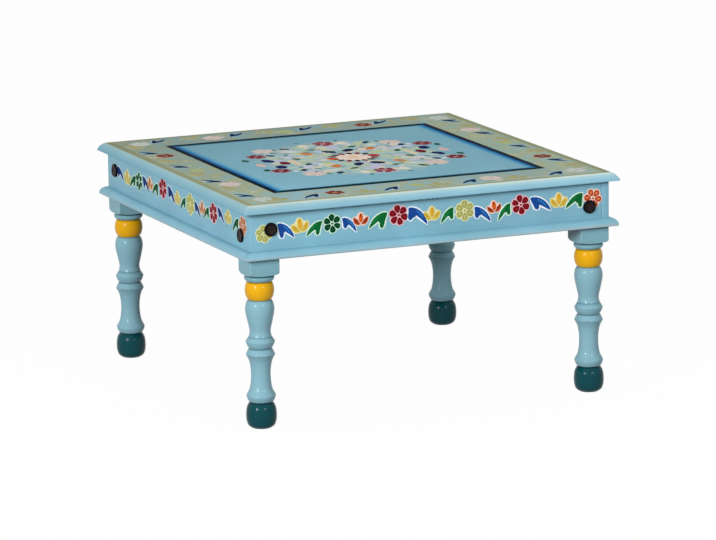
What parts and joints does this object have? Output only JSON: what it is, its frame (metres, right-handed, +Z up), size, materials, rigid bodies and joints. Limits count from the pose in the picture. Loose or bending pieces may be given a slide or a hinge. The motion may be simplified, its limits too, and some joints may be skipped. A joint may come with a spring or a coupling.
{
  "type": "low table",
  "caption": "Low square bajot table with a moulded, painted top, a deep bolted apron with a quarter-round base moulding, and short turned legs.",
  "frame": {"origin": "on the floor, under the middle of the top", "axes": "+Z up, -Y to the front face, +X to the right as seen from the front"},
  "size_m": [0.6, 0.6, 0.333],
  "materials": {
    "aqua_paint": "satin pale aqua-blue oil paint over solid wood, with hand-painted flowers",
    "bare_wood": "sawn and planed, unpainted",
    "blackened_steel": "blackened, satin",
    "plated_steel": "zinc plated"
  },
  "bodies": {
    "root": {"top_board": "aqua_paint", "apron_front": "aqua_paint", "moulding_front": "aqua_paint", "cleat_front": "bare_wood", "cleat_screw_front_1": "plated_steel", "cleat_screw_front_2": "plated_steel", "apron_right": "aqua_paint", "moulding_right": "aqua_paint", "cleat_right": "bare_wood", "cleat_screw_right_1": "plated_steel", "cleat_screw_right_2": "plated_steel", "apron_back": "aqua_paint", "moulding_back": "aqua_paint", "cleat_back": "bare_wood", "cleat_screw_back_1": "plated_steel", "cleat_screw_back_2": "plated_steel", "apron_left": "aqua_paint", "moulding_left": "aqua_paint", "cleat_left": "bare_wood", "cleat_screw_left_1": "plated_steel", "cleat_screw_left_2": "plated_steel", "leg_front_left": "aqua_paint", "bolt_front_left_upper": "blackened_steel", "washer_front_left_upper": "plated_steel", "nut_front_left_upper": "plated_steel", "bolt_front_left_lower": "blackened_steel", "washer_front_left_lower": "plated_steel", "nut_front_left_lower": "plated_steel", "leg_front_right": "aqua_paint", "bolt_front_right_upper": "blackened_steel", "washer_front_right_upper": "plated_steel", "nut_front_right_upper": "plated_steel", "bolt_front_right_lower": "blackened_steel", "washer_front_right_lower": "plated_steel", "nut_front_right_lower": "plated_steel", "leg_back_right": "aqua_paint", "bolt_back_right_upper": "blackened_steel", "washer_back_right_upper": "plated_steel", "nut_back_right_upper": "plated_steel", "bolt_back_right_lower": "blackened_steel", "washer_back_right_lower": "plated_steel", "nut_back_right_lower": "plated_steel", "leg_back_left": "aqua_paint", "bolt_back_left_upper": "blackened_steel", "washer_back_left_upper": "plated_steel", "nut_back_left_upper": "plated_steel", "bolt_back_left_lower": "blackened_steel", "washer_back_left_lower": "plated_steel", "nut_back_left_lower": "plated_steel", "batten_left": "bare_wood", "batten_screw_left_1": "plated_steel", "batten_screw_left_2": "plated_steel", "batten_right": "bare_wood", "batten_screw_right_1": "plated_steel", "batten_screw_right_2": "plated_steel"}
  },
  "joints": []
}
